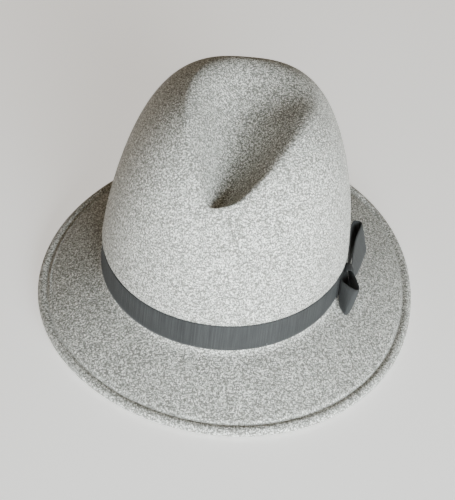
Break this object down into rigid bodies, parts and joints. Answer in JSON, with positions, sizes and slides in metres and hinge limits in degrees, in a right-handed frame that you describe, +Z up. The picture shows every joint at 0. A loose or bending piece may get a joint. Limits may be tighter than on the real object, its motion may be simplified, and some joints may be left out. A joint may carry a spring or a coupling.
{
  "type": "fedora hat",
  "caption": "Light grey heathered wool felt fedora with a tall teardrop crown, a sloping brim with a turned and stitched edge, and a dark grosgrain band with a side bow.",
  "frame": {"origin": "on the surface that the brim edge rests on, under the middle of the brim", "axes": "+Z up, -Y towards the front of the hat, +X towards the bow on the wearer's left"},
  "size_m": [0.267, 0.313, 0.1601],
  "materials": {
    "felt": "heathered light grey wool felt, matt, short nap",
    "felt_thread": "grey polyester thread",
    "ribbon": "dark slate grosgrain ribbon, fine upright ribs, low sheen",
    "ribbon_thread": "dark slate thread",
    "wire": "drawn spring wire",
    "joiner": "crimped brass tube",
    "sweatband_leather": "dark brown smooth sheepskin",
    "reed": "drawn plastic reed",
    "sweatband_thread": "brown thread",
    "lining_tape": "black satin tape",
    "label": "woven satin, blank"
  },
  "bodies": {
    "root": {"felt_body": "felt", "brim_wire": "wire", "brim_wire_joiner": "joiner", "brim_top_stitches": "felt_thread", "brim_under_stitches": "felt_thread", "hatband": "ribbon", "hatband_tacks": "ribbon_thread", "bow_front_loop": "ribbon", "bow_rear_loop": "ribbon", "bow_knot": "ribbon", "bow_tacks": "ribbon_thread", "sweatband": "sweatband_leather", "sweatband_reed": "reed", "sweatband_stitches": "sweatband_thread", "sweatband_joint_tape": "lining_tape", "size_label": "label"}
  },
  "joints": []
}
